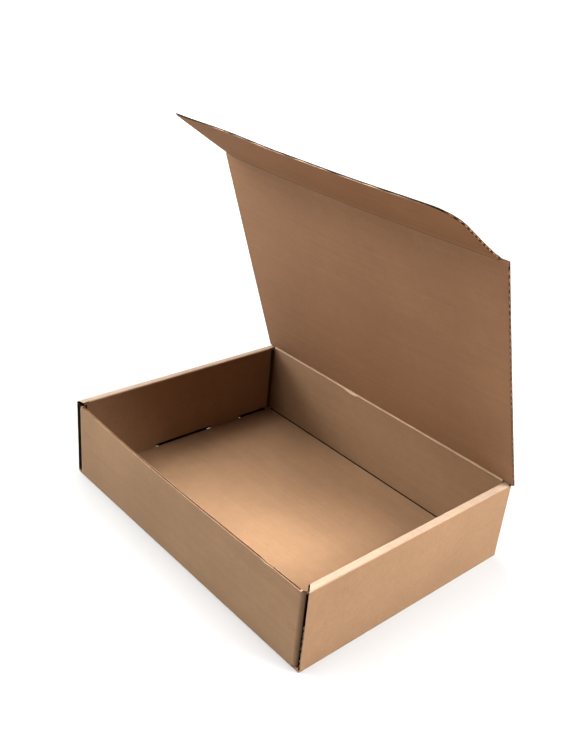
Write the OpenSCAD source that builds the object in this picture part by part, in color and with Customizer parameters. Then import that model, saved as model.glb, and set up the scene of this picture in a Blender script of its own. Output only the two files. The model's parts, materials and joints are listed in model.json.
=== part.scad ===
// One-piece corrugated mailer box: a tray with double roll-over side walls,
// a lid hinged on the back wall and a tuck flap hinged on the lid.
// Origin: middle of the tray's underside. +X right, -Y front, +Y back, +Z up.

/* [Inside of the tray] */
// Clear width between the inner side panels
inside_w = 308.4; // [200:0.2:450]
// Clear depth between the front and back walls
inside_d = 233; // [150:0.5:400]
// Height from the floor to the top of the side walls
inside_h = 75.2; // [45:0.1:150]

/* [Board] */
// Thickness of the corrugated board
board = 2.3; // [1.8:0.1:4]
// Thickness of each flat liner sheet
liner = 0.3; // [0.2:0.05:0.5]
// Thickness of the wavy medium between the liners
medium = 0.25; // [0.2:0.05:0.5]
// Length of one flute wave
flute_pitch = 6.4; // [5:0.1:9]
// Width of the glued flat on each flute crest
glue_line = 0.9; // [0.5:0.1:1.4]
// Rounding of the outside of a creased fold
fold_round = 1.6; // [0.5:0.1:1.8]
// Inside radius of the upright bends at the tray's corners
bend_inside_r = 3.4; // [0.2:0.1:3.5]
// Crushed strip along a crease, where no flute is open
crush_w = 2.4; // [1.5:0.1:4]
// Radius of the scored line along the inside of the floor's folds
score_r = 0.8; // [0.2:0.1:1.2]

/* [Side walls] */
// Room on each face of a corner tab inside the double wall
ply_gap = 0.2; // [0.1:0.05:0.8]
// How far the side panels' ends stand back from the front and back faces
side_recess = 0.8; // [0.3:0.1:2]
// Room at each end of an inner panel
panel_end_gap = 4.5; // [0.2:0.1:8]
// Gap under the inner panel's bottom edge
panel_lift = 2.8; // [0.8:0.1:4]
// How far the right top fold's front end slopes back towards the inside
roll_right_slope = 7.5; // [1:0.5:12]
// How far the left top fold's front end slopes back towards the inside
roll_left_slope = 3; // [1:0.5:12]
// Depth of the open flute between the liners at the side panels' ends
side_groove = 3; // [1:0.1:6]
// Rounding of the top folds' back ends
roll_back_r = 3; // [0.5:0.5:8]

/* [Lock tabs and slots] */
// Length of a lock tab along the wall
lock_tab_w = 37.5; // [20:0.5:60]
// Distance between the middles of the two tabs on a side
lock_tab_spacing = 107; // [70:1:150]
// Slope of a lock tab's end corners
lock_tab_chamfer = 1.6; // [0.5:0.1:2.5]
// Room at each end of a tab in its slot
slot_end_gap = 3.4; // [0.6:0.1:5]
// Room between a tab and its slot on the side wall's side
slot_face_gap = 2; // [0.1:0.1:2.2]
// Room between a tab and its slot on the tray's side
slot_inner_gap = 0.3; // [0.2:0.1:2]
// How far a tab's end stays above the underside
lock_tab_recess = 0.4; // [0.2:0.1:1]

/* [Front wall and corner tabs] */
// How far the front wall's edge is below the tops of the side walls
front_drop = 4; // [3.2:0.1:10]
// Depth of the open groove between the liners of the front wall's edge
edge_groove = 1.2; // [0.4:0.1:2]
// Reach of a corner tab along the side wall, from the outer face
corner_tab_len = 62; // [30:1:72]
// Slope of a corner tab's free end
corner_tab_slope = 8; // [2:0.5:15]
// Gap between a corner tab and the floor
corner_tab_lift = 0.6; // [0.3:0.1:2]

/* [Lid and tuck flap] */
// Angle of the lid from closed
lid_open = 70.6; // [2:0.1:180]
// Room between the closed lid and the side walls
lid_seat_gap = 0.3; // [0.2:0.1:1]
// Room between the two sides of a crease
crease_gap = 0.35; // [0.3:0.05:0.6]
// Fold of the tuck flap from the lid's plane
flap_fold = 38.7; // [0:0.1:95]
// Room between the tucked flap and the front wall
flap_front_gap = 5.2; // [1:0.1:8]
// Room between the tucked flap and each inner side panel
flap_side_gap = 0.6; // [0.3:0.1:4]
// Room between the tucked flap's free edge and the floor
flap_floor_gap = 3.6; // [2:0.1:20]
// Radius of the flap's right free corner
flap_right_r = 19.5; // [3:0.5:30]
// Radius of the flap's left free corner
flap_left_r = 2; // [1:0.5:30]

/* [Hidden] */
$fn = 64;
kraft = [0.74, 0.57, 0.41];
// Overshoot of a cutting shape past the face that it cuts
over = 1;
// Points along the curve of one flute cell
cell_steps = 7;
// Share of a flute between its crest and an edge that is cut through it
cut_phase = 0.3;
// Largest share of the board's thickness that a fold's rounding may take
round_share = 0.9;

side_ply = 3 * board + 2 * ply_gap;
box_w = inside_w + 2 * side_ply;
box_d = inside_d + 2 * board;
box_h = inside_h + board;
round_r = min(fold_round, round_share * board);
bend_r = board + bend_inside_r;
// Half width of the front and back walls, whose corner tabs run inside the double side walls
end_wall_half = box_w / 2 - board - ply_gap;
end_wall_straight = end_wall_half - bend_r;
front_top = box_h - front_drop;
inner_panel_x = box_w / 2 - side_ply;
side_len = box_d - 2 * side_recess;
inner_panel_len = inside_d - 2 * panel_end_gap;

hinge_y = box_d / 2 - board / 2;
hinge_z = box_h + lid_seat_gap + board / 2;
crease_start = board / 2 + crease_gap;
lid_len = inside_d - flap_front_gap;
flap_half = inside_w / 2 - flap_side_gap;
flap_len = hinge_z - board - flap_floor_gap;

// The waste outside a rounded corner at the origin, whose sides run along +X and +Y
module corner_waste(r) {
    difference() {
        translate([-over, -over]) square(r + over);
        translate([r, r]) circle(r);
    }
}

// Extrudes an outline of (y, z) along X, about the middle
module along_x(length) {
    rotate([90, 0, 90]) linear_extrude(length, center = true) children();
}

// Extrudes an outline of (x, z) along Y, about the middle
module along_y(length) {
    rotate([90, 0, 0]) linear_extrude(length, center = true) children();
}

// Repeats what is made for the right side on the left
module on_both_sides() {
    for (side = [0, 1]) mirror([side, 0, 0]) children();
}

// Floor with the front and back walls: the section that runs across the tray
module floor_and_ends_outline() {
    difference() {
        union() {
            translate([-box_d / 2, 0]) square([box_d, board]);
            translate([-box_d / 2, 0]) square([board, front_top]);
            translate([box_d / 2 - board, 0]) square([board, hinge_z]);
        }
        translate([-box_d / 2, 0]) corner_waste(round_r);
        translate([box_d / 2, 0]) mirror([1, 0]) corner_waste(round_r);
        translate([-box_d / 2 + liner, front_top - edge_groove])
            square([board - 2 * liner, edge_groove + over]);
        for (end = [-1, 1]) translate([end * inside_d / 2, board]) circle(score_r);
    }
}

// Right side: floor edge, outer panel and the flat fold on top
module side_outer_outline() {
    difference() {
        union() {
            translate([inner_panel_x - board, 0]) square([side_ply + board, board]);
            translate([box_w / 2 - board, 0]) square([board, box_h]);
            translate([inner_panel_x, box_h - board]) square([side_ply, board]);
        }
        translate([box_w / 2, 0]) mirror([1, 0]) corner_waste(round_r);
        translate([box_w / 2, box_h]) rotate(180) corner_waste(round_r);
        translate([inner_panel_x, box_h]) mirror([0, 1]) corner_waste(round_r);
    }
}

// Right side: open flute inside the outer panel and the flat fold on top
module side_flute_outline() {
    flute = board - 2 * liner;
    difference() {
        union() {
            translate([box_w / 2 - board + liner, board]) square([flute, inside_h - liner]);
            translate([inner_panel_x + liner, box_h - board + liner])
                square([side_ply - 2 * liner, flute]);
        }
        translate([box_w / 2 - liner, box_h - liner]) rotate(180) corner_waste(round_r - liner);
        translate([inner_panel_x + liner, box_h - liner])
            mirror([0, 1]) corner_waste(round_r - liner);
    }
}

// Front end of the right side wall seen from above: what lies before a line that slopes
// back towards the inside, at a distance from the panel's end
module roll_end_plan(slope, distance) {
    start = distance - side_len / 2;
    polygon([
        [box_w / 2 + over, -box_d],
        [box_w / 2 + over, start],
        [box_w / 2, start],
        [inner_panel_x, start + slope],
        [inner_panel_x - over, start + slope],
        [inner_panel_x - over, -box_d],
    ]);
}

// Cuts at the right side wall's ends: sloped front end and round back end of the top fold, open flutes
module side_end_cuts(slope) {
    translate([0, 0, box_h - board]) linear_extrude(board + over) roll_end_plan(slope, 0);
    intersection() {
        along_y(side_len + 2 * over) side_flute_outline();
        linear_extrude(box_h + over) roll_end_plan(slope, side_groove);
    }
    translate([0, side_len / 2, 0]) along_y(2 * side_groove) side_flute_outline();
    translate([box_w / 2 - side_ply / 2, side_len / 2, box_h])
        along_x(side_ply + 2 * over) rotate(180) corner_waste(roll_back_r);
}

// Right side: inner panel that hangs from the top fold
module side_inner_outline() {
    difference() {
        translate([inner_panel_x, board + panel_lift])
            square([board, inside_h - panel_lift]);
        translate([inner_panel_x, box_h]) mirror([0, 1]) corner_waste(round_r);
    }
}

// Lock tab below an inner panel, centred on y = 0, with sloped end corners
module lock_tab() {
    tab_top = board + panel_lift + over;
    translate([inner_panel_x + board / 2, 0, 0]) along_x(board) polygon([
        [-lock_tab_w / 2, tab_top],
        [-lock_tab_w / 2, lock_tab_recess + lock_tab_chamfer],
        [-lock_tab_w / 2 + lock_tab_chamfer, lock_tab_recess],
        [lock_tab_w / 2 - lock_tab_chamfer, lock_tab_recess],
        [lock_tab_w / 2, lock_tab_recess + lock_tab_chamfer],
        [lock_tab_w / 2, tab_top],
    ]);
}

// Slot in the floor that a lock tab drops into
module lock_slot() {
    translate([inner_panel_x - slot_inner_gap, -lock_tab_w / 2 - slot_end_gap, -over])
        cube([slot_inner_gap + board + slot_face_gap, lock_tab_w + 2 * slot_end_gap, board + 2 * over]);
}

// Places something at the two lock tabs of the right side
module at_lock_tabs() {
    for (end = [-1, 1])
        translate([0, end * lock_tab_spacing / 2, 0]) children();
}

// Floor, end walls and outer side panels, with the slots cut through the floor
module tray_shell() {
    difference() {
        union() {
            along_x(2 * end_wall_straight) floor_and_ends_outline();
            on_both_sides() along_y(side_len) side_outer_outline();
        }
        on_both_sides() at_lock_tabs() lock_slot();
        side_end_cuts(roll_right_slope);
        mirror([1, 0, 0]) side_end_cuts(roll_left_slope);
    }
}

// Inner panel of the right side with its lock tabs
module side_lining() {
    along_y(inner_panel_len) side_inner_outline();
    at_lock_tabs() lock_tab();
}

// Upright bend at the front right corner, seen from above, with a short run of the front wall
module corner_bend_outline() {
    translate([end_wall_straight, -box_d / 2 + bend_r]) intersection() {
        difference() {
            circle(bend_r);
            circle(bend_inside_r);
        }
        translate([0, -bend_r]) square(bend_r);
    }
    translate([end_wall_straight - over, -box_d / 2]) square([over, board]);
}

// Tab from the front wall's right end, caught between the two layers of the side wall
module corner_tab() {
    tab_bottom = board + corner_tab_lift;
    tab_front = -box_d / 2 + bend_r;
    tab_end = -box_d / 2 + corner_tab_len;
    translate([0, 0, tab_bottom])
        linear_extrude(front_top - tab_bottom) corner_bend_outline();
    translate([end_wall_half - board / 2, 0, 0]) along_x(board) polygon([
        [tab_front, tab_bottom],
        [tab_end - corner_tab_slope, tab_bottom],
        [tab_end, tab_bottom + corner_tab_slope],
        [tab_end, front_top - corner_tab_slope],
        [tab_end - corner_tab_slope, front_top],
        [tab_front, front_top],
    ]);
}

// Rounded edge of a board along a crease, centred on the crease line
module crease_bead(length) {
    rotate([0, 90, 0]) cylinder(h = length, d = board, center = true);
}

module tray() {
    color(kraft) union() {
        tray_shell();
        translate([0, hinge_y, hinge_z]) crease_bead(2 * end_wall_straight);
        on_both_sides() {
            side_lining();
            for (end = [0, 1]) mirror([0, end, 0]) corner_tab();
        }
    }
}

// Height of the medium's middle at distance s from a crest
function medium_z(s) =
    (board / 2 - liner - medium / 2) * cos(360 * s / flute_pitch);

// Open cell below a liner, from one crest of the medium to the next
function cell_points(start) = let (
    inner_face = board / 2 - liner,
    width = flute_pitch - glue_line
) [
    [start + glue_line / 2, inner_face],
    for (i = [0 : cell_steps])
        let (s = glue_line / 2 + width * i / cell_steps)
            [start + s, medium_z(s) + medium / 2],
    [start + glue_line / 2 + width, inner_face],
];

// Section of flat board on y from 0 to length, crushed along the crease at 0.
// Its other end is cut open between two crests, or crushed along a second crease.
module board_section(length, cut_open) {
    last_crest = cut_open ? length + (1 - cut_phase) * flute_pitch : length - crush_w - flute_pitch / 2;
    cells = floor((last_crest - crush_w) / flute_pitch);
    first = last_crest - cells * flute_pitch;
    difference() {
        translate([0, -board / 2]) square([length, board]);
        for (i = [0 : cells - 1]) {
            polygon(cell_points(first + i * flute_pitch));
            mirror([0, 1]) polygon(cell_points(first + (i + 0.5) * flute_pitch));
        }
    }
}

// The lid lies closed along -Y from the hinge line at the origin
module lid_panel() {
    mirror([0, 1, 0]) {
        translate([0, crease_start, 0]) along_x(box_w)
            board_section(lid_len - crease_start, false);
        translate([0, lid_len, 0]) crease_bead(2 * flap_half);
    }
}

// Outline of the flap seen from above, with its crease on y = 0 and its free edge towards +Y
module flap_outline() {
    difference() {
        translate([-flap_half, 0]) square([2 * flap_half, flap_len]);
        translate([flap_half, flap_len]) rotate(180) corner_waste(flap_right_r);
        translate([-flap_half, flap_len]) mirror([0, 1]) corner_waste(flap_left_r);
    }
}

module flap_panel() {
    mirror([0, 1, 0]) intersection() {
        translate([0, crease_start, 0]) along_x(2 * flap_half + 2 * over)
            board_section(flap_len - crease_start, true);
        translate([0, 0, -board]) linear_extrude(2 * board) flap_outline();
    }
}

// Swings what lies closed on the tray up to the lid's angle
module on_hinge() {
    translate([0, hinge_y, hinge_z]) rotate([-lid_open, 0, 0]) children();
}

module lid() {
    color(kraft) on_hinge() lid_panel();
}

module tuck_flap() {
    color(kraft) on_hinge() translate([0, -lid_len, 0]) rotate([flap_fold, 0, 0]) flap_panel();
}

tray();
lid();
tuck_flap();
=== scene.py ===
import json
import math

import bmesh
import bpy
from mathutils import Matrix, Vector


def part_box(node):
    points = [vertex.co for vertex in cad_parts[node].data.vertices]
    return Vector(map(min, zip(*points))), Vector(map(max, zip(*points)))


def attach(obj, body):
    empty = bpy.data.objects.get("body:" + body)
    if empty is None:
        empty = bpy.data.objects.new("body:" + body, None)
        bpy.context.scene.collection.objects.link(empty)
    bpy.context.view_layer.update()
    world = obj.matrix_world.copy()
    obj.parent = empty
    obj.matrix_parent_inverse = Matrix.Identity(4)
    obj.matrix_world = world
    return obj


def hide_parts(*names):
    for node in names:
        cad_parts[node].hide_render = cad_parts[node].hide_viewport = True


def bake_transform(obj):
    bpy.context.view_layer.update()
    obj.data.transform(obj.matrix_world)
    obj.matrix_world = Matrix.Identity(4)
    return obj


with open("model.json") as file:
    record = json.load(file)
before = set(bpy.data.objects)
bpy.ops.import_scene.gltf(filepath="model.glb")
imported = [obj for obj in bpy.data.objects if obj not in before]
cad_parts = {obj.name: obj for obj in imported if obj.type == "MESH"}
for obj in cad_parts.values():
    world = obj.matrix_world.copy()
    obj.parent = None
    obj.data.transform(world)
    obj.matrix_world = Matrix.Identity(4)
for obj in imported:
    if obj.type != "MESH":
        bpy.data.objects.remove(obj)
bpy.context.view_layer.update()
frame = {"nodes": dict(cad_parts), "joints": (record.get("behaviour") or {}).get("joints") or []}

MM = 0.001

# Picture and camera, from a pinhole fit of the tray's and lid's corners
PICTURE_W = 585
PICTURE_H = 756
FOCAL_PX = 885.18
PRINCIPAL_PX = (297.15, 384.37)
EYE = Vector((0.48941, -0.46905, 0.49174))
EYE_RIGHT = Vector((0.65903, 0.74666, 0.09042))
EYE_DOWN = Vector((0.40290, -0.24895, -0.88073))
EYE_FORWARD = Vector((-0.63510, 0.61686, -0.46490))
SENSOR_MM = 36
CLIP_START = 0.02
CLIP_END = 60

# Board and sizes that the CAD part also has
BOARD = 2.3 * MM
LINER = 0.3 * MM
BOX_H = 77.5 * MM
FRONT_TOP = 73.5 * MM
FRONT_GROOVE = 1.2 * MM
FOLD_ROUND = 1.6 * MM
SIDE_PLY = 7.3 * MM
SIDE_CUT_START = 106.0 * MM
INNER_HALF_LEN = 112.0 * MM
LOCK_TAB_PLACE = 53.5 * MM
LOCK_TAB_HALF = 18.75 * MM
SLOT_END_GAP = 3.4 * MM
SLOT_FACE_GAP = 2.0 * MM
SLOT_INNER_GAP = 0.3 * MM
PANEL_LIFT = 2.8 * MM
SIDE_END = 118.0 * MM
ROLL_BACK_R = 3.0 * MM
SCORE_R = 0.8 * MM
END_WALL_STRAIGHT = 153.3 * MM
FLAP_HALF = 153.6 * MM
FLAP_RIGHT_R = 19.5 * MM
FLUTE_PITCH = 6.4 * MM
LID_CREST = 222.2 * MM
FLAP_CREST = 77.5 * MM

# Places and directions from the frame
TRAY_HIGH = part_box("tray")[1]
HALF_W = TRAY_HIGH.x
HALF_D = TRAY_HIGH.y
INNER_X = HALF_W - SIDE_PLY
JOINTS = {j["name"]: j for j in frame["joints"]}
HINGE = Vector(JOINTS["lid_hinge"]["pos_m"])
FOLD = Vector(JOINTS["flap_hinge"]["pos_m"])
AXIS = Vector((1, 0, 0))
BACKWARD = Vector((0, 1, 0))
UP = Vector((0, 0, 1))
NOWHERE = Vector((0, 0, 0))
LID_ALONG = (FOLD - HINGE).normalized()
LID_OUT = AXIS.cross(LID_ALONG) * -1
LID_LEN = (FOLD - HINGE).length
FLAP_FOLD = math.radians(38.7)
FLAP_ALONG = Matrix.Rotation(FLAP_FOLD, 3, AXIS) @ LID_ALONG
FLAP_OUT = Matrix.Rotation(FLAP_FOLD, 3, AXIS) @ LID_OUT
FLAP_LEN = max((v.co - FOLD).dot(FLAP_ALONG) for v in frame["nodes"]["tuck_flap"].data.vertices)

# Depth under a face that still counts as its liner, and how near two places count as the same
RIM = LINER * 0.8
TOUCH = 0.02 * MM
SLACK = 0.1 * MM

# Spacing of the cuts that let a board bend, and the bend from which an edge looks crisp
SLICE_STEP = 9 * MM
FLAP_SLICE_STEP = 6 * MM
SHARP_ANGLE = math.radians(34)

# Front wall: its bulge, its raised left end and the worn place on its top edge
FRONT_BOW = 1.6 * MM
FRONT_BOW_FOOT = 0.15
FRONT_BOW_SKEW = 0.35
FRONT_LEFT_RISE = 1.6 * MM
FRONT_RISE_START = -0.45
NICK_PLACE = 115.0 * MM
NICK_HALF = 7.0 * MM
NICK_DEPTH = 0.7 * MM
NICK_FOOT = 0.9

# How far the floor's slots are torn open past their ends
SLOT_TEAR = 1.8 * MM

# Liner wrapped over the back end of each side wall's top fold
ROLL_PROUD = 0.03 * MM
ROLL_STEPS = 6
ROLL_END_R = 0.8 * MM
ROLL_DROP = 0.9 * MM
ROLL_REACH = 1.6 * ROLL_BACK_R
ROLL_SINK = 0.4 * ROLL_BACK_R
ROLL_HOOK = 0.5 * ROLL_BACK_R

# Ragged medium in the open flute at the right side wall's front end
TORN_LOW = 4 * MM
TORN_HIGH = 46 * MM
TORN_STEPS = 70
TORN_SWAY = 0.4 * MM
TORN_THICK = 0.2 * MM
TORN_SINK = 0.25 * MM
TORN_DEEP = 1.2 * MM

# Cut ends of the wavy medium in the lid and the flap
RIBBON_THICK = 0.42 * MM
RIBBON_PROUD = 0.05 * MM
RIBBON_DEPTH = 1.2 * MM
RIBBON_STEPS = 8
RIBBON_SWING = 0.84
RIBBON_CLOSED = 0.75
RIBBON_OPEN_AT = 0.2
RIBBON_CLOSED_AT = -0.6
LID_RIBBON_START = 5 * MM
LID_RIBBON_STOP = 6 * MM
FLAP_RIBBON_INSET = 4 * MM
FLAP_ROUND_INSET = 0.1 * FLAP_RIGHT_R

# Lid: its bow, the spread of its right end at the hinge, and its corners beside the back wall
LID_BOW = 3.6 * MM
LID_FLARE = 2.2 * MM
FLARE_START = 154.5 * MM
FLARE_POWER = 1.5
EAR_REACH = 1.8 * MM
EAR_INSET = 0.05 * MM
EAR_GAP = 0.11 * MM
EAR_DROP = 4.2 * MM
EAR_DROP_END = 1.9 * MM
EAR_SLANT = 3.5 * MM
EAR_LIP = 1.0 * MM
EAR_STEPS = 4

# Flap: its squeezed edge, long left corner, bends and frayed liner
CRUSH_FROM = 7 / 8
CRUSH_SHARE = 0.22
FLAP_THIN = 0.24
FLAP_LEFT_LONG = 3.3 * MM
FLAP_CURL = 0.9 * MM
CURL_POWER = 1.5
LEFT_CURL = 0.3 * MM
RIGHT_CURL = 1.5 * MM
RIGHT_CURL_START = 45.0 * MM
WAVE_CURL = 1.1 * MM
WAVE_PLACE = -85.0 * MM
WAVE_HALF = 65.0 * MM
FRAY_START = -125.0 * MM
FRAY_END = 133.0 * MM
FRAY_STEPS = 120
FRAY_WAVE = 9.0 * MM
FRAY_HIGH = 0.9 * MM
FRAY_TAPER = 40.0 * MM
FRAY_PROUD = 0.15 * MM
FRAY_DEEP = 0.5 * MM

# Kraft colours, linear
KRAFT = (0.264, 0.171, 0.103)
# Copies of the liner for the lid and the flap, tinted to paint warm light on the lid and warm shade on the
# flap
KRAFT_LID_WARM_LIGHT = (0.295, 0.174, 0.101)
KRAFT_FLAP_WARM_SHADE = (0.284, 0.154, 0.078)
# Paler, greyer paper on the side walls' top folds: wear, and a painted highlight on their lit tops
KRAFT_FOLD_HIGHLIGHT = (0.286, 0.218, 0.163)
KRAFT_PALE = (0.38, 0.295, 0.22)
KRAFT_CUT = (0.30, 0.22, 0.155)
# Near-black painted shade for open flutes, slots, gaps under panels, scored lines and flute channels
KRAFT_FLUTE_SHADE = (0.012, 0.008, 0.006)
# Dark brown painted shade on cut ends, flute channels and deep recesses
KRAFT_GAP_SHADE = (0.075, 0.044, 0.027)
# Dark brown for the medium's cut ends, and painted shade in the front wall's top groove and along the flap's
# score line
KRAFT_EDGE_AND_SHADE = (0.22, 0.13, 0.08)
# Scuffed bare paper for torn liner; on the back crease's bead it also paints a highlight
KRAFT_SCUFF_AND_HIGHLIGHT = (0.50, 0.38, 0.28)

# Paper texture: scale of each noise, and how much it changes the tone
NOISE_LOW = 0.3
NOISE_HIGH = 0.7
CLOUD_SCALE = 14
CLOUD_DEPTH = 0.05
BLOTCH_SCALE = 95
BLOTCH_DEPTH = 0.045
FIBRE_SCALE = 900
FIBRE_DEPTH = 0.06
BAND_STRETCH = (7, 230, 230)
BAND_DEPTH = 0.025
TONE_SPREAD = 0.14
GRAIN_SCALE = 2400
GRAIN_FROM = 0.62
GRAIN_TO = 0.8
GRAIN_SHARE = 0.3
SPECK_SCALE = 620
SPECK_FROM = 0.735
SPECK_TO = 0.76
SPECK_SHARE = 0.35
SPECK_TONE = 0.35
ROUGH_SPREAD = 0.06
FIBRE_RELIEF = 0.7
BLOTCH_RELIEF = 0.9
BUMP_STRENGTH = 0.22
BUMP_DEPTH = 0.4 * MM

# Material places on each board piece
LINER_SLOT = 0
FOLD_HIGHLIGHT_SLOT = 1
CUT_SLOT = 2
FLUTE_SHADE_SLOT = 3
GAP_SHADE_SLOT = 4
SCUFF_AND_HIGHLIGHT_SLOT = 5
EDGE_AND_SHADE_SLOT = 6

# Liners across the creases: (distance along the sheet, height over its face) at each bend, in mm
BACK_INSIDE = ((-4.0, -0.10), (-3.0, 0.0), (-2.2, 0.10), (-1.5, 0.36), (-0.8, 0.44), (-0.3, 0.34),
               (0.4, -0.12), (0.8, -0.42), (1.3, -0.30), (1.9, 0.05), (2.8, 0.06), (3.8, -0.10))
BACK_OUTSIDE = ((-4.0, -0.10), (-3.0, 0.04), (-1.6, 0.08), (-0.7, -0.04),
                (0.7, -0.04), (1.6, 0.08), (3.0, 0.04), (4.0, -0.10))
FLAP_INSIDE = ((-6.0, -0.10), (-4.5, 0.02), (-2.5, 0.08), (-1.5, 0.10), (-0.9, 0.04),
               (0.9, 0.04), (1.5, 0.10), (2.5, 0.08), (4.5, 0.02), (6.0, -0.10))
FLAP_OUTSIDE = ((-6.0, -0.10), (-4.5, 0.02), (-2.0, 0.06), (-0.7, 0.05),
                (0.7, 0.05), (2.0, 0.06), (4.5, 0.02), (6.0, -0.10))
STRIP_DEPTH = 0.22 * MM
STRIP_STEP = 6 * MM

# Bands of another tone along a crease: start and end in mm, and material place. The pale band is scuffed
# paper and a painted highlight on the back crease's bead; the score line is painted shade.
PALE_CREASE_HIGHLIGHT = (-2.0, -0.2, SCUFF_AND_HIGHLIGHT_SLOT)
SCORE_LINE_SHADE = (-0.9, 0.9, EDGE_AND_SHADE_SLOT)

# Sliver of liner torn loose at the back crease, with its heights in mm
FLAKE_START = -54 * MM
FLAKE_END = -24 * MM
FLAKE_TOP = -1.2
FLAKE_DROP = 2.0
FLAKE_LEAST = 0.12
FLAKE_SKEW = 1.7
FLAKE_STEPS = 14

# Studio paper, in metres
FLOOR_HALF = 14.0
FLOOR_CELLS = 8
FLOOR_DROP = 0.15 * MM
FLOOR_NOISE = 3
FLOOR_GLOW = 0.40
FLOOR_GLOW_NEAR = 0.26
FLOOR_GLOW_EXTRA = 0.85
# Painted light under the tray, seen only through the ends of the floor's slots
FLOOR_GLOW_UNDER = 2.0
FLOOR_FAR_START = 0.6
FLOOR_FAR_END = 2.2
FLOOR_FADE_START = 0.24
FLOOR_FADE_END = 0.40
PAPER = (0.24, 0.238, 0.236)
PAPER_SPREAD = 1.03
BACKDROP_R = 13.0
BACKDROP_H = 14.0
BACKDROP_SINK = 1.0
BACKDROP_NOISE = 0.3
BACKDROP_GLOW = 1.1
BACKDROP_SIDES = 48

# Light: each soft box has its degrees round the object and above the floor, distance, strength and colour
WHITE = (1, 1, 1, 1)
AIR_COLOUR = (1.0, 0.99, 0.98, 1)
AIR_GLOW = 0.01
TONE_GAMMA = 0.8
LIGHT_AIM = Vector((0, 0, 0.08))
NEAR_LIGHT = 1.8
FAR_LIGHT = 4.5
LIGHT_SPREAD = 0.5
NEUTRAL = (1.0, 1.0, 1.0)
COOL = (0.94, 1.0, 1.03)
LIGHTS = {
    "key_light": (32, 36, NEAR_LIGHT, 1.8, NEUTRAL),
    "high_key_light": (25, 42, NEAR_LIGHT, 0.7, NEUTRAL),
    "left_light": (205, 35, FAR_LIGHT, 1.0, NEUTRAL),
    "low_light": (215, 20, FAR_LIGHT, 0.7, COOL),
    "front_light": (245, 50, FAR_LIGHT, 0.5, NEUTRAL),
    "left_back_light": (165, 60, NEAR_LIGHT, 0.5, NEUTRAL),
    "left_top_light": (180, 60, FAR_LIGHT, 0.4, NEUTRAL),
    "top_light": (225, 75, NEAR_LIGHT, 0.2, NEUTRAL),
    "overhead_light": (0, 88, NEAR_LIGHT, 0.45, NEUTRAL),
}
FILL_WAY = Vector((0.65, -0.15, 0.42))
FILL_STRENGTH = 0.12
FILL_SIZE = 0.4
FILL_COLOUR = (1.0, 0.52, 0.27)


def smooth_step(edge_0, edge_1, value):
    t = min(1.0, max(0.0, (value - edge_0) / (edge_1 - edge_0)))
    return t * t * (3 - 2 * t)


# Materials

def node(tree, kind, **settings):
    made = tree.nodes.new(kind)
    for key, value in settings.items():
        setattr(made, key, value)
    return made


def noise_node(tree, vector, scale, detail, roughness=0.5):
    made = node(tree, "ShaderNodeTexNoise")
    made.inputs["Scale"].default_value = scale
    made.inputs["Detail"].default_value = detail
    made.inputs["Roughness"].default_value = roughness
    tree.links.new(vector, made.inputs["Vector"])
    return made.outputs["Fac"]


def stretched(tree, vector, scale):
    made = node(tree, "ShaderNodeMapping")
    made.inputs["Scale"].default_value = scale
    tree.links.new(vector, made.inputs["Vector"])
    return made.outputs["Vector"]


def remap(tree, value, low_in, high_in, low_out, high_out):
    made = node(tree, "ShaderNodeMapRange")
    made.inputs["From Min"].default_value = low_in
    made.inputs["From Max"].default_value = high_in
    made.inputs["To Min"].default_value = low_out
    made.inputs["To Max"].default_value = high_out
    tree.links.new(value, made.inputs["Value"])
    return made.outputs["Result"]


def combine(tree, operation, first, second):
    made = node(tree, "ShaderNodeMath", operation=operation)
    for socket, item in zip(made.inputs, (first, second)):
        if isinstance(item, (int, float)):
            socket.default_value = item
        else:
            tree.links.new(item, socket)
    return made.outputs["Value"]


def mix_colour(tree, factor, first, second):
    made = node(tree, "ShaderNodeMix", data_type="RGBA")
    tree.links.new(factor, made.inputs["Factor"])
    colours = [s for s in made.inputs if s.type == "RGBA"]
    for socket, item in zip(colours, (first, second)):
        if isinstance(item, tuple):
            socket.default_value = (*item, 1)
        else:
            tree.links.new(item, socket)
    return [s for s in made.outputs if s.type == "RGBA"][0]


def scaled(colour, factor):
    return tuple(c * factor for c in colour)


def swing(tree, noise, depth):
    """A factor that swings about 1 with a noise."""
    return remap(tree, noise, NOISE_LOW, NOISE_HIGH, 1 - depth, 1 + depth)


def paper_tone(tree, place, blotch, fibre, mottle):
    """How the tone varies: clouds of pulp, blotches, fibres and faint bands across the sheet."""
    cloud = noise_node(tree, place, CLOUD_SCALE, 3)
    band = noise_node(tree, stretched(tree, place, BAND_STRETCH), 1, 1)
    tone = combine(tree, "MULTIPLY", swing(tree, cloud, CLOUD_DEPTH * mottle),
                   swing(tree, blotch, BLOTCH_DEPTH * mottle))
    tone = combine(tree, "MULTIPLY", tone, swing(tree, fibre, FIBRE_DEPTH * mottle))
    return combine(tree, "MULTIPLY", tone, swing(tree, band, BAND_DEPTH))


def paper_relief(tree, blotch, fibre):
    """Normals of the slightly uneven sheet."""
    relief = combine(tree, "ADD", combine(tree, "MULTIPLY", fibre, FIBRE_RELIEF),
                     combine(tree, "MULTIPLY", blotch, BLOTCH_RELIEF))
    bump = node(tree, "ShaderNodeBump")
    bump.inputs["Strength"].default_value = BUMP_STRENGTH
    bump.inputs["Distance"].default_value = BUMP_DEPTH
    tree.links.new(relief, bump.inputs["Height"])
    return bump.outputs["Normal"]


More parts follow.
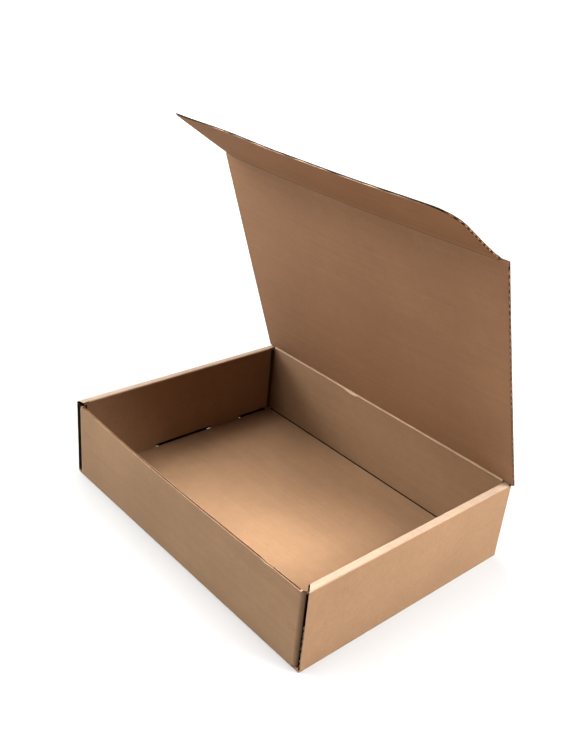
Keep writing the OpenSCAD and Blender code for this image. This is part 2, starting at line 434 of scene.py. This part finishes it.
def kraft_material(name, base, light, mottle=1.0, rough=0.82, shine=0.28):
    """Kraft paper with a cloudy tone, pale grain and a few dark specks."""
    made = bpy.data.materials.new(name)
    made.use_nodes = True
    tree = made.node_tree
    shader = tree.nodes["Principled BSDF"]
    place = node(tree, "ShaderNodeTexCoord").outputs["Object"]
    blotch = noise_node(tree, place, BLOTCH_SCALE, 4, 0.6)
    fibre = noise_node(tree, place, FIBRE_SCALE, 4, 0.7)
    grain = noise_node(tree, place, GRAIN_SCALE, 2, 0.6)
    speck = noise_node(tree, place, SPECK_SCALE, 1)

    tone = paper_tone(tree, place, blotch, fibre, mottle)
    tone = remap(tree, tone, 1 - TONE_SPREAD, 1 + TONE_SPREAD, 0, 1)
    pale = remap(tree, grain, GRAIN_FROM, GRAIN_TO, 0, GRAIN_SHARE)
    dark = remap(tree, speck, SPECK_FROM, SPECK_TO, 0, SPECK_SHARE)
    colour = mix_colour(tree, tone, scaled(base, 1 - TONE_SPREAD), scaled(base, 1 + TONE_SPREAD))
    colour = mix_colour(tree, pale, colour, light)
    colour = mix_colour(tree, dark, colour, scaled(base, SPECK_TONE))
    roughness = remap(tree, blotch, NOISE_LOW, NOISE_HIGH, rough - ROUGH_SPREAD, rough + ROUGH_SPREAD)

    tree.links.new(colour, shader.inputs["Base Color"])
    tree.links.new(roughness, shader.inputs["Roughness"])
    shader.inputs["Specular IOR Level"].default_value = shine
    tree.links.new(paper_relief(tree, blotch, fibre), shader.inputs["Normal"])
    return made


LINER_MATERIAL = kraft_material("kraft_liner", KRAFT, KRAFT_PALE)
# Liner copies with painted warm light on the lid and painted warm shade on the flap
LID_WARM_LIGHT_MATERIAL = kraft_material("kraft_lid_liner_painted_warm_light", KRAFT_LID_WARM_LIGHT, KRAFT_PALE)
FLAP_WARM_SHADE_MATERIAL = kraft_material("kraft_flap_liner_painted_warm_shade", KRAFT_FLAP_WARM_SHADE, KRAFT_PALE)
# Worn fold paper and painted highlight
FOLD_HIGHLIGHT_MATERIAL = kraft_material("kraft_worn_fold_and_highlight", KRAFT_FOLD_HIGHLIGHT, KRAFT_PALE)
CUT_MATERIAL = kraft_material("kraft_cut_edge", KRAFT_CUT, KRAFT_PALE, mottle=1.6, rough=0.92)
# Near-black painted shade for hollows, slots, gaps and channels
FLUTE_SHADE_MATERIAL = kraft_material("kraft_flute_painted_shade", KRAFT_FLUTE_SHADE, KRAFT_GAP_SHADE, mottle=1.4, rough=0.95, shine=0.02)
# Dark brown painted shade for cut ends, channels and recesses
GAP_SHADE_MATERIAL = kraft_material("kraft_gap_painted_shade", KRAFT_GAP_SHADE, KRAFT_CUT, mottle=1.4, rough=0.95, shine=0.08)
# Scuffed paper, also used as a painted highlight on the back crease
SCUFF_AND_HIGHLIGHT_MATERIAL = kraft_material("kraft_scuff_and_highlight", KRAFT_SCUFF_AND_HIGHLIGHT, KRAFT_SCUFF_AND_HIGHLIGHT, mottle=2.0, rough=0.95)
# Dark cut edge that also serves as painted shade in the front groove and the score line
EDGE_AND_SHADE_MATERIAL = kraft_material("kraft_dark_edge_and_painted_shade", KRAFT_EDGE_AND_SHADE, KRAFT_CUT, mottle=1.4, rough=0.95, shine=0.08)
EDGE_MATERIALS = (FOLD_HIGHLIGHT_MATERIAL, CUT_MATERIAL, FLUTE_SHADE_MATERIAL, GAP_SHADE_MATERIAL, SCUFF_AND_HIGHLIGHT_MATERIAL, EDGE_AND_SHADE_MATERIAL)
TRAY_MATERIALS = (LINER_MATERIAL, *EDGE_MATERIALS)
LID_MATERIALS = (LID_WARM_LIGHT_MATERIAL, *EDGE_MATERIALS)
FLAP_MATERIALS = (FLAP_WARM_SHADE_MATERIAL, *EDGE_MATERIALS)


# Meshes

def cad_copy(name):
    """The CAD node's shape, ready to be sliced, with the tray's flat faces whole."""
    made = bmesh.new()
    made.from_mesh(frame["nodes"][name].data)
    bmesh.ops.remove_doubles(made, verts=made.verts, dist=1e-6)
    if name == "tray":
        bmesh.ops.dissolve_limit(made, angle_limit=math.radians(0.4), verts=made.verts, edges=made.edges)
    return made


def slice_at(mesh, direction, at):
    """Cuts every face along a plane at a distance from the origin."""
    bmesh.ops.bisect_plane(mesh, geom=mesh.verts[:] + mesh.edges[:] + mesh.faces[:], dist=1e-6,
                           plane_co=direction * at, plane_no=direction)


def slice_across(mesh, direction, start, end, step):
    """Cuts every face along evenly spaced planes, so that the board can bend."""
    count = max(1, round((end - start) / step))
    for i in range(1, count):
        slice_at(mesh, direction, start + (end - start) * i / count)


def add_piece(name, mesh, materials):
    """Turns the mesh into an object with soft faces and crisp board edges."""
    bmesh.ops.triangulate(mesh, faces=[f for f in mesh.faces if len(f.verts) > 4])
    mesh.normal_update()
    for face in mesh.faces:
        face.smooth = True
    for edge in mesh.edges:
        edge.smooth = len(edge.link_faces) == 2 and edge.calc_face_angle(math.pi) < SHARP_ANGLE
    data = bpy.data.meshes.new(name)
    mesh.to_mesh(data)
    mesh.free()
    for item in materials:
        data.materials.append(item)
    made = bpy.data.objects.new(name, data)
    bpy.context.scene.collection.objects.link(made)
    return made


def add_prism(mesh, rings, slot, end_slot=None):
    """A closed solid through rings of points, with flat ends that may show another paper."""
    made = [[mesh.verts.new(point) for point in ring] for ring in rings]
    count = len(made[0])
    faces = [mesh.faces.new(made[0]), mesh.faces.new(made[-1])]
    for ring, after in zip(made, made[1:]):
        for i in range(count):
            j = (i + 1) % count
            faces.append(mesh.faces.new((ring[i], ring[j], after[j], after[i])))
    for face in faces:
        face.material_index = slot
    for face in faces[:2]:
        face.material_index = slot if end_slot is None else end_slot
    bmesh.ops.recalc_face_normals(mesh, faces=faces)


# Tray

def side_depth(out, z):
    """Depth under the outer face of a side wall and its rounded top edge."""
    x_in = HALF_W - FOLD_ROUND - out
    z_in = BOX_H - FOLD_ROUND - z
    if x_in < 0 and z_in < 0:
        return FOLD_ROUND - math.hypot(x_in, z_in)
    return min(HALF_W - out, BOX_H - z)


def in_side_flute(at):
    """Inside the open flute at an end of the outer side panel or of the fold on its top."""
    depth = side_depth(abs(at.x), at.z)
    under_top = abs(at.x) < INNER_X + RIM and at.z > BOX_H - BOARD
    return RIM < depth < BOARD - RIM and at.z > BOARD and abs(at.y) > SIDE_CUT_START and not under_top


def in_front_flute(at):
    """Inside the groove along the front wall's top edge."""
    between_liners = RIM < at.y + HALF_D < BOARD - RIM
    in_groove = at.z > FRONT_TOP - FRONT_GROOVE - RIM
    return between_liners and in_groove and abs(at.x) < END_WALL_STRAIGHT


def in_nick(at):
    """On the worn place of the front wall's top edge."""
    return abs(at.x - NICK_PLACE) < NICK_HALF


def in_wall_gap(at, way):
    """Under the lifted edge of an inner panel or in a floor slot, but not on the seen face of a lock tab."""
    across = abs(at.x) - INNER_X
    inside = -SLOT_INNER_GAP - RIM < across < SIDE_PLY - BOARD + RIM
    low = TOUCH / 2 < at.z < BOARD + PANEL_LIFT + RIM and abs(at.y) < INNER_HALF_LEN
    on_tab_face = abs(across) < 0.5 * RIM and way.x * at.x < 0
    return inside and low and not on_tab_face


def in_score(at):
    """In the scored line between the floor and the front or back wall."""
    reach = math.hypot(abs(at.y) - (HALF_D - BOARD), at.z - BOARD)
    return reach < SCORE_R + TOUCH and abs(at.x) < END_WALL_STRAIGHT


def in_corner_recess(at):
    """On a corner tab, where it shows beyond the end of an inner panel."""
    behind_panel = INNER_X + RIM < abs(at.x) < HALF_W - BOARD
    past_panel = INNER_HALF_LEN - RIM < abs(at.y) < HALF_D - BOARD + RIM
    return behind_panel and past_panel and BOARD + RIM < at.z < BOX_H - BOARD - RIM


def on_side_end(at, way):
    """On the cut end of a side panel, of its top fold or of its inner panel."""
    if abs(way.y) < 0.6 or abs(at.x) < INNER_X - RIM or at.z < BOARD:
        return False
    outer_panel = abs(at.x) > HALF_W - BOARD - RIM
    top_fold = at.z > BOX_H - BOARD - RIM
    return outer_panel or top_fold or abs(at.y) < INNER_HALF_LEN + RIM


def side_end_slot(at):
    """The cut edges are pale, but at the front all but the outer one on the right get near-black painted
    shade.
    """
    outer_edge = side_depth(abs(at.x), at.z) < LINER
    return CUT_SLOT if at.y > 0 or (outer_edge and at.x > 0) else FLUTE_SHADE_SLOT


def tray_slot(face):
    """Which paper shows on a face of the tray."""
    at = face.calc_center_median()
    way = face.normal
    # Painted shade, near black, in the open flutes, under the inner panels' lifted edges, in the slots and
    # along the scored lines
    if in_side_flute(at) or in_wall_gap(at, way) or in_score(at):
        return FLUTE_SHADE_SLOT
    # Painted shade in the groove along the front wall's top edge, pale where the edge is worn
    if in_front_flute(at):
        return CUT_SLOT if in_nick(at) else EDGE_AND_SHADE_SLOT
    # Dark painted shade on the corner tabs deep in the recesses beyond the inner panels
    if in_corner_recess(at):
        return GAP_SHADE_SLOT
    # Worn fold and painted highlight on the lit, upward faces of the side walls' top folds
    if at.z > BOX_H - FOLD_ROUND and way.z > 0.5 and abs(at.x) > INNER_X - RIM:
        return FOLD_HIGHLIGHT_SLOT
    if at.y < -HALF_D + BOARD and at.z > FRONT_TOP - SLACK and way.z > 0.9:
        return CUT_SLOT
    return side_end_slot(at) if on_side_end(at, way) else LINER_SLOT


def front_wall_warp(at):
    """The front wall's free top edge bulges outwards and its left end stands a little high."""
    if at.y > -HALF_D + BOARD + 2 * SLACK or abs(at.x) > END_WALL_STRAIGHT + SLACK:
        return NOWHERE
    height = smooth_step(FRONT_BOW_FOOT * FRONT_TOP, FRONT_TOP, at.z)
    across = at.x / END_WALL_STRAIGHT
    bulge = math.cos(across * math.pi / 2) * (1 - FRONT_BOW_SKEW * across)
    rise = smooth_step(FRONT_RISE_START, -1.0, across)
    nick = max(0.0, 1 - abs(at.x - NICK_PLACE) / NICK_HALF)
    nick *= smooth_step(NICK_FOOT * FRONT_TOP, FRONT_TOP, at.z)
    return Vector((0, -FRONT_BOW * bulge * height, FRONT_LEFT_RISE * rise * height - NICK_DEPTH * nick))


def slot_tear(at):
    """The floor's slots are torn open a little past their ends."""
    along = abs(at.y) - LOCK_TAB_PLACE
    across = abs(at.x) - INNER_X
    at_end = abs(abs(along) - LOCK_TAB_HALF - SLOT_END_GAP) < TOUCH
    in_slot = -SLOT_INNER_GAP - TOUCH < across < BOARD + SLOT_FACE_GAP + TOUCH
    if not at_end or not in_slot or at.z > BOARD + TOUCH:
        return NOWHERE
    return Vector((0, math.copysign(SLOT_TEAR, along * at.y), 0))


def roll_profile(top):
    """Outline of the wrapped liner across its round end, as (y, z)."""
    start = SIDE_END - ROLL_REACH
    profile = [(start, top - ROLL_SINK), (start, top)]
    for i in range(ROLL_STEPS + 1):
        turn = math.pi / 2 * (1 - i / ROLL_STEPS)
        y = SIDE_END - ROLL_END_R * (1 - math.cos(turn)) + ROLL_PROUD
        profile.append((y, top - ROLL_END_R * (1 - math.sin(turn))))
    profile.append((SIDE_END + ROLL_PROUD, top - ROLL_BACK_R))
    profile.append((SIDE_END - ROLL_HOOK, top - ROLL_BACK_R))
    return profile


def add_roll_end(mesh, side):
    """The liner wrapped over the round back end of a side wall's top fold."""
    bends = ((INNER_X + LINER, ROLL_DROP), (INNER_X + FOLD_ROUND, 0),
             (HALF_W - FOLD_ROUND, 0), (HALF_W - LINER, ROLL_DROP))
    rings = []
    for out, drop in bends:
        profile = roll_profile(BOX_H - drop + ROLL_PROUD)
        rings.append([Vector((side * out, y, z)) for y, z in profile])
    add_prism(mesh, rings, FOLD_HIGHLIGHT_SLOT)


def add_torn_medium(mesh):
    """Ragged medium in the open flute at the right side wall's front end."""
    rings = []
    for i in range(TORN_STEPS + 1):
        z = TORN_LOW + (TORN_HIGH - TORN_LOW) * i / TORN_STEPS
        turn = 2 * math.pi * z / FLUTE_PITCH
        x = HALF_W - BOARD / 2 + TORN_SWAY * (math.sin(turn) + 0.3 * math.sin(2.7 * turn))
        y = -SIDE_END + TORN_SINK * (1 + math.sin(1.6 * turn))
        ring = ((x - TORN_THICK, y), (x + TORN_THICK, y),
                (x + TORN_THICK, y + TORN_DEEP), (x - TORN_THICK, y + TORN_DEEP))
        rings.append([Vector((a, b, z)) for a, b in ring])
    add_prism(mesh, rings, CUT_SLOT)


def make_tray():
    mesh = cad_copy("tray")
    slice_across(mesh, AXIS, -HALF_W, HALF_W, SLICE_STEP)
    slice_across(mesh, BACKWARD, -HALF_D, HALF_D, SLICE_STEP)
    slice_across(mesh, UP, 0, TRAY_HIGH.z, SLICE_STEP)
    slice_at(mesh, UP, BOARD + PANEL_LIFT)
    for side in (-1, 1):
        slice_at(mesh, AXIS, side * INNER_X)
    for share in (-1, -0.5, 0, 0.5, 1):
        slice_at(mesh, AXIS, NICK_PLACE + share * NICK_HALF)
    mesh.normal_update()
    for face in mesh.faces:
        face.material_index = tray_slot(face)
    for vert in mesh.verts:
        vert.co += front_wall_warp(vert.co) + slot_tear(vert.co)
    for side in (-1, 1):
        add_roll_end(mesh, side)
    add_torn_medium(mesh)
    made = add_piece("tray_board", mesh, TRAY_MATERIALS)
    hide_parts("tray")
    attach(made, "tray")


# Lid and flap

LID_SHEET = {"spot": HINGE, "along": LID_ALONG, "out": LID_OUT, "crest": LID_CREST}
FLAP_SHEET = {"spot": FOLD, "along": FLAP_ALONG, "out": FLAP_OUT, "crest": FLAP_CREST}


def medium_height(board, at):
    """Height of the wavy medium's middle over the board's middle, at a distance from the hinge line."""
    return (BOARD / 2 - LINER) * math.cos(2 * math.pi * (at - board["crest"]) / FLUTE_PITCH)


def board_slot(face, board):
    """Which paper shows on a face of the lid or flap; cut faces and flute channels get painted shade,
    darkest in the channels under the inner liner.
    """
    at = face.calc_center_median() - board["spot"]
    height = at.dot(board["out"])
    if abs(abs(height) - BOARD / 2) < TOUCH:
        return LINER_SLOT
    if abs(face.normal.dot(board["out"])) < 0.25:
        return GAP_SHADE_SLOT
    return GAP_SHADE_SLOT if height > medium_height(board, at.dot(board["along"])) else FLUTE_SHADE_SLOT


def add_flute_ribbon(mesh, board, reach, end_at, start, end):
    """The cut end of the wavy medium, spread by the die over the channels on the outside."""
    steps = round((end - start) / FLUTE_PITCH * RIBBON_STEPS)
    rings = []
    for i in range(steps + 1):
        at = start + (end - start) * i / steps
        middle = medium_height(board, at) * RIBBON_SWING
        closed = RIBBON_CLOSED * smooth_step(RIBBON_OPEN_AT, RIBBON_CLOSED_AT, middle / BOARD * 2)
        high = middle + RIBBON_THICK / 2
        high += closed * (BOARD / 2 - LINER - high)
        low = middle - RIBBON_THICK / 2
        edge = end_at(at) + math.copysign(RIBBON_PROUD, reach)
        ring = ((edge, high), (edge, low), (edge - reach, low), (edge - reach, high))
        spot = board["spot"] + board["along"] * at
        rings.append([spot + AXIS * x + board["out"] * out for x, out in ring])
    add_prism(mesh, rings, EDGE_AND_SHADE_SLOT)


def ear_profile(drop):
    """Section of the lid's corner, rounded about the hinge line, as (along the lid, out of it)."""
    profile = [(EAR_REACH, BOARD / 2), (-drop, BOARD / 2), (-drop, BOARD / 2 - EAR_LIP)]
    for i in range(EAR_STEPS + 1):
        turn = math.pi * (1 + i / (2 * EAR_STEPS))
        profile.append((BOARD / 2 * math.cos(turn), BOARD / 2 * math.sin(turn)))
    profile.append((EAR_REACH, -BOARD / 2))
    return profile


def add_hinge_ear(mesh, side):
    """The lid's corner beside the back wall, with a thin lip behind the side wall."""
    places = ((END_WALL_STRAIGHT + EAR_GAP, EAR_DROP), (HALF_W - EAR_SLANT, EAR_DROP),
              (HALF_W, EAR_DROP_END))
    rings = []
    for x, drop in places:
        spot = HINGE + AXIS * side * (x - EAR_INSET)
        rings.append([spot + LID_ALONG * along + LID_OUT * out for along, out in ear_profile(drop)])
    # The ear's cut ends get dark painted shade
    add_prism(mesh, rings, LINER_SLOT, GAP_SHADE_SLOT)


def lid_bow(x, share):
    """How far the lid's free end dips towards the tray, largest in the middle of its width."""
    across = math.cos(max(-1.0, min(1.0, x / HALF_W)) * math.pi / 2)
    return LID_BOW * across * smooth_step(0.0, 1.0, share)


def lid_flare(x, share):
    """How far the lid's right end spreads beyond the side wall, most at the hinge."""
    return LID_FLARE * smooth_step(FLARE_START, HALF_W, x) * max(0.0, 1 - max(0.0, share)) ** FLARE_POWER


def make_lid():
    mesh = cad_copy("lid")
    slice_across(mesh, AXIS, -HALF_W, HALF_W, SLICE_STEP)
    slice_across(mesh, LID_ALONG, HINGE.dot(LID_ALONG), FOLD.dot(LID_ALONG), SLICE_STEP)
    mesh.normal_update()
    for face in mesh.faces:
        face.material_index = board_slot(face, LID_SHEET)
    for side in (-1, 1):
        add_hinge_ear(mesh, side)
        add_flute_ribbon(mesh, LID_SHEET, side * RIBBON_DEPTH, lambda at: side * HALF_W,
                         LID_RIBBON_START, LID_LEN - LID_RIBBON_STOP)
    for vert in mesh.verts:
        share = (vert.co - HINGE).dot(LID_ALONG) / LID_LEN
        vert.co += AXIS * lid_flare(vert.co.x, share) - LID_OUT * lid_bow(vert.co.x, share)
    made = add_piece("lid_board", mesh, LID_MATERIALS)
    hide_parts("lid")
    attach(made, "lid")


def flap_bow(at):
    """The flap's root follows the lid's end, and its free edge stays straight."""
    share = (at - FOLD).dot(FLAP_ALONG) / FLAP_LEN
    return LID_OUT * -lid_bow(at.x, 1.0) * (1 - smooth_step(0.0, 1.0, share))


def flap_curl(x, along):
    """How far the flap bends outwards, more in a wave on the left and at the right corner."""
    wave = math.cos(math.pi / 2 * max(-1.0, min(1.0, (x - WAVE_PLACE) / WAVE_HALF))) ** 2
    right = smooth_step(RIGHT_CURL_START, FLAP_HALF, x)
    left = max(0.0, -x / FLAP_HALF) ** 3
    curl = FLAP_CURL + WAVE_CURL * wave + RIGHT_CURL * right + LEFT_CURL * left
    return curl * max(0.0, along) ** CURL_POWER


def flap_crush(at):
    """The board is squeezed thin along the flap's free edge, and its left corner stands a little long."""
    along = (at - FOLD).dot(FLAP_ALONG) / FLAP_LEN
    above = (at - FOLD).dot(FLAP_OUT) + BOARD / 2
    squeeze = FLAP_THIN * min(1.0, along / (1 - CRUSH_FROM))
    squeeze += CRUSH_SHARE * max(0.0, (along - CRUSH_FROM) / (1 - CRUSH_FROM))
    left = along * max(0.0, -at.x / FLAP_HALF) ** 3
    return FLAP_OUT * (flap_curl(at.x, along) - above * squeeze) + FLAP_ALONG * (FLAP_LEFT_LONG * left)


def flap_right_end(at):
    """Where the flap's rounded right end lies at a distance from its crease."""
    past = max(0.0, at - (FLAP_LEN - FLAP_RIGHT_R))
    return FLAP_HALF - FLAP_RIGHT_R + math.sqrt(FLAP_RIGHT_R ** 2 - past ** 2)


def add_frayed_edge(mesh):
    """The inner liner's torn fibres along the flap's free edge."""
    near = FLAP_LEN - FRAY_DEEP
    far = FLAP_LEN + FRAY_PROUD
    low = -BOARD / 2
    rings = []
    for i in range(FRAY_STEPS + 1):
        x = FRAY_START + (FRAY_END - FRAY_START) * i / FRAY_STEPS
        ragged = 0.5 + 0.25 * (math.sin(x / FRAY_WAVE) + math.sin(2.3 * x / FRAY_WAVE))
        taper = smooth_step(0, FRAY_TAPER, min(x - FRAY_START, FRAY_END - x))
        high = low + FRAY_HIGH * (0.05 + taper * ragged)
        ring = ((far, low), (far, high), (near, high), (near, low))
        rings.append([FOLD + AXIS * x + FLAP_ALONG * along + FLAP_OUT * out for along, out in ring])
    add_prism(mesh, rings, SCUFF_AND_HIGHLIGHT_SLOT)


def make_flap():
    mesh = cad_copy("tuck_flap")
    root = FOLD.dot(FLAP_ALONG)
    slice_across(mesh, AXIS, -FLAP_HALF, FLAP_HALF, FLAP_SLICE_STEP)
    slice_across(mesh, FLAP_ALONG, root, root + FLAP_LEN, SLICE_STEP)
    mesh.normal_update()
    for face in mesh.faces:
        face.material_index = board_slot(face, FLAP_SHEET)
    add_frayed_edge(mesh)
    add_flute_ribbon(mesh, FLAP_SHEET, RIBBON_DEPTH, flap_right_end,
                     FLAP_RIBBON_INSET, FLAP_LEN - FLAP_ROUND_INSET)
    add_flute_ribbon(mesh, FLAP_SHEET, -RIBBON_DEPTH, lambda at: -FLAP_HALF,
                     FLAP_RIBBON_INSET, FLAP_LEN - FLAP_RIBBON_INSET)
    for vert in mesh.verts:
        vert.co += flap_crush(vert.co) + flap_bow(vert.co)
    made = add_piece("tuck_flap_board", mesh, FLAP_MATERIALS)
    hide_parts("tuck_flap")
    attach(made, "tuck_flap")


# Creases

BACK_CREASE = {
    "spot": HINGE,
    "along": (UP, LID_ALONG),
    "out": (BACKWARD, LID_OUT),
    "half": END_WALL_STRAIGHT,
    "bow": lambda x: NOWHERE,
    "bodies": ("tray", "lid"),
}
FLAP_CREASE = {
    "spot": FOLD,
    "along": (LID_ALONG, FLAP_ALONG),
    "out": (LID_OUT, FLAP_OUT),
    "half": FLAP_HALF - 2 * SLACK,
    "bow": lambda x: LID_OUT * -lid_bow(x, 1.0),
    "bodies": ("lid", "tuck_flap"),
}


def crease_point(x, step, crease, face, sink):
    """A point of a crease's liner, on the first board before the crease and on the second after it."""
    distance = step[0] * MM
    height = step[1] * MM
    board = 0 if distance < 0 else 1
    return (crease["spot"] + AXIS * x + crease["along"][board] * distance
            + crease["out"][board] * face * (BOARD / 2 + height - sink) + crease["bow"](x))


def add_flake(mesh, crease):
    """A sliver of liner torn loose that hangs from the back crease."""
    rings = []
    for i in range(FLAKE_STEPS + 1):
        share = i / FLAKE_STEPS
        low = FLAKE_TOP - FLAKE_DROP * (FLAKE_LEAST + math.sin(math.pi * share ** FLAKE_SKEW))
        profile = ((FLAKE_TOP, 0.45), (low, 0.75), (low, 0.5), (FLAKE_TOP, 0.1))
        x = FLAKE_START + (FLAKE_END - FLAKE_START) * share
        rings.append([crease_point(x, step, crease, -1, 0) for step in profile])
    add_prism(mesh, rings, SCUFF_AND_HIGHLIGHT_SLOT)


def add_strip(mesh, crease, face, profile, band):
    """A thin bent sheet along a crease, with its edges sunk into the boards on both sides."""
    columns = round(2 * crease["half"] / STRIP_STEP)
    places = [-crease["half"] + 2 * crease["half"] * i / columns for i in range(columns + 1)]
    rows = []
    for sink in (0, STRIP_DEPTH):
        for step in profile:
            rows.append([mesh.verts.new(crease_point(x, step, crease, face, sink)) for x in places])
    count = len(profile)
    ring = list(range(count)) + list(range(2 * count - 1, count - 1, -1))
    for here, there in zip(ring, ring[1:] + ring[:1]):
        on_top = here < count and there < count
        middle = (profile[here % count][0] + profile[there % count][0]) / 2
        for i in range(columns):
            made = mesh.faces.new((rows[here][i], rows[here][i + 1], rows[there][i + 1], rows[there][i]))
            if band and on_top and band[0] < middle < band[1]:
                made.material_index = band[2]
    # The strip's cut ends get dark painted shade
    for i in (0, columns):
        mesh.faces.new([rows[r][i] for r in ring]).material_index = GAP_SHADE_SLOT
    bmesh.ops.recalc_face_normals(mesh, faces=mesh.faces)


def make_crease(name, crease, face, profile, band=None, flake=False):
    mesh = bmesh.new()
    add_strip(mesh, crease, face, profile, band)
    if flake:
        add_flake(mesh, crease)
    made = add_piece(name, mesh, LID_MATERIALS)
    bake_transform(made)


# Stage

def paper_material(name, noise_scale):
    """Matt studio paper that glows white; its glow is set by the caller."""
    made = bpy.data.materials.new(name)
    made.use_nodes = True
    tree = made.node_tree
    shader = tree.nodes["Principled BSDF"]
    place = node(tree, "ShaderNodeTexCoord").outputs["Object"]
    tone = remap(tree, noise_node(tree, place, noise_scale, 2), NOISE_LOW, NOISE_HIGH, 0, 1)
    colour = mix_colour(tree, tone, PAPER, scaled(PAPER, PAPER_SPREAD))
    tree.links.new(colour, shader.inputs["Base Color"])
    shader.inputs["Roughness"].default_value = 1.0
    shader.inputs["Specular IOR Level"].default_value = 0.0
    shader.inputs["Emission Color"].default_value = WHITE
    return made, shader, place


def under_glow(tree, place):
    """Painted light: the paper under the tray glows brightly and shows only through the ends of the floor's
    slots.
    """
    parts = node(tree, "ShaderNodeSeparateXYZ")
    tree.links.new(place, parts.inputs["Vector"])
    away_x = combine(tree, "ABSOLUTE", parts.outputs["X"], 0)
    away_y = combine(tree, "ABSOLUTE", parts.outputs["Y"], 0)
    inside_x = combine(tree, "LESS_THAN", away_x, HALF_W - 2 * BOARD)
    inside_y = combine(tree, "LESS_THAN", away_y, HALF_D - 4 * BOARD)
    return combine(tree, "MULTIPLY", combine(tree, "MULTIPLY", inside_x, inside_y), FLOOR_GLOW_UNDER)


def floor_glow(tree, place):
    """White paper lit evenly behind the object, darker on the near side of it."""
    ahead = Vector((EYE_FORWARD.x, EYE_FORWARD.y, 0)).normalized()
    along = node(tree, "ShaderNodeVectorMath", operation="DOT_PRODUCT")
    along.inputs[1].default_value = ahead
    tree.links.new(place, along.inputs[0])
    start = EYE.dot(ahead)
    fade = remap(tree, along.outputs["Value"], start + FLOOR_FADE_START, start + FLOOR_FADE_END,
                 FLOOR_GLOW_NEAR, FLOOR_GLOW)
    away = node(tree, "ShaderNodeVectorMath", operation="LENGTH")
    tree.links.new(place, away.inputs[0])
    far = remap(tree, away.outputs["Value"], FLOOR_FAR_START, FLOOR_FAR_END, 0, FLOOR_GLOW_EXTRA)
    return combine(tree, "ADD", combine(tree, "ADD", fade, far), under_glow(tree, place))


def add_stage(name, mesh, height, paper):
    data = bpy.data.meshes.new(name)
    mesh.to_mesh(data)
    mesh.free()
    data.materials.append(paper)
    made = bpy.data.objects.new(name, data)
    made.location = (0, 0, height)
    bpy.context.scene.collection.objects.link(made)
    return made


def make_floor():
    mesh = bmesh.new()
    bmesh.ops.create_grid(mesh, x_segments=FLOOR_CELLS, y_segments=FLOOR_CELLS, size=FLOOR_HALF)
    paper, shader, place = paper_material("studio_paper", FLOOR_NOISE)
    glow = floor_glow(paper.node_tree, place)
    paper.node_tree.links.new(glow, shader.inputs["Emission Strength"])
    add_stage("studio_floor", mesh, -FLOOR_DROP, paper)


def make_backdrop():
    """A white paper wall far round the stage, which is seen but lights nothing."""
    mesh = bmesh.new()
    bmesh.ops.create_cone(mesh, cap_ends=False, segments=BACKDROP_SIDES, radius1=BACKDROP_R,
                          radius2=BACKDROP_R, depth=BACKDROP_H)
    paper, shader, place = paper_material("backdrop_paper", BACKDROP_NOISE)
    shader.inputs["Emission Strength"].default_value = BACKDROP_GLOW
    made = add_stage("studio_backdrop", mesh, BACKDROP_H / 2 - BACKDROP_SINK, paper)
    made.visible_diffuse = False
    made.visible_glossy = False
    made.visible_shadow = False


def sky_way(round_angle, height_angle):
    """Direction of a light from its degrees round the object and above the floor."""
    turn = math.radians(round_angle)
    lift = math.radians(height_angle)
    return Vector((math.cos(lift) * math.cos(turn), math.cos(lift) * math.sin(turn), math.sin(lift)))


def add_soft_box(name, way, distance, size, strength, colour):
    """A round soft light that looks at the middle of the object."""
    data = bpy.data.lights.new(name, "AREA")
    data.shape = "DISK"
    data.size = size
    data.energy = math.pi ** 2 * distance ** 2 * strength
    data.color = colour
    made = bpy.data.objects.new(name, data)
    made.location = LIGHT_AIM + way * distance
    made.rotation_mode = "QUATERNION"
    made.rotation_quaternion = way.to_track_quat("Z", "Y")
    bpy.context.scene.collection.objects.link(made)


def make_lights():
    for name, (round_angle, height_angle, distance, strength, colour) in LIGHTS.items():
        way = sky_way(round_angle, height_angle)
        add_soft_box(name, way, distance, LIGHT_SPREAD * distance, strength, colour)
    add_soft_box("near_fill", FILL_WAY.normalized(), FILL_WAY.length, FILL_SIZE, FILL_STRENGTH, FILL_COLOUR)


def make_air():
    """A faint even light from all round, and the picture's tone curve."""
    world = bpy.data.worlds.new("studio_air")
    world.use_nodes = True
    back = world.node_tree.nodes["Background"]
    back.inputs["Color"].default_value = AIR_COLOUR
    back.inputs["Strength"].default_value = AIR_GLOW
    bpy.context.scene.world = world
    bpy.context.scene.view_settings.view_transform = "Standard"
    bpy.context.scene.view_settings.gamma = TONE_GAMMA


def make_camera():
    data = bpy.data.cameras.new("photo_camera")
    data.sensor_width = SENSOR_MM
    data.lens = FOCAL_PX * SENSOR_MM / PICTURE_H
    data.shift_x = (PICTURE_W / 2 - PRINCIPAL_PX[0]) / PICTURE_H
    data.shift_y = (PRINCIPAL_PX[1] - PICTURE_H / 2) / PICTURE_H
    data.clip_start = CLIP_START
    data.clip_end = CLIP_END
    made = bpy.data.objects.new("photo_camera", data)
    turn = Matrix((EYE_RIGHT, -EYE_DOWN, -EYE_FORWARD)).transposed()
    made.matrix_world = Matrix.Translation(EYE) @ turn.to_4x4()
    bpy.context.scene.collection.objects.link(made)
    bpy.context.scene.camera = made


make_tray()
make_lid()
make_flap()
make_crease("back_crease_inside", BACK_CREASE, -1, BACK_INSIDE, PALE_CREASE_HIGHLIGHT, flake=True)
make_crease("back_crease_outside", BACK_CREASE, 1, BACK_OUTSIDE)
make_crease("flap_crease_inside", FLAP_CREASE, -1, FLAP_INSIDE, SCORE_LINE_SHADE)
make_crease("flap_crease_outside", FLAP_CREASE, 1, FLAP_OUTSIDE)
make_floor()
make_backdrop()
make_lights()
make_air()
make_camera()
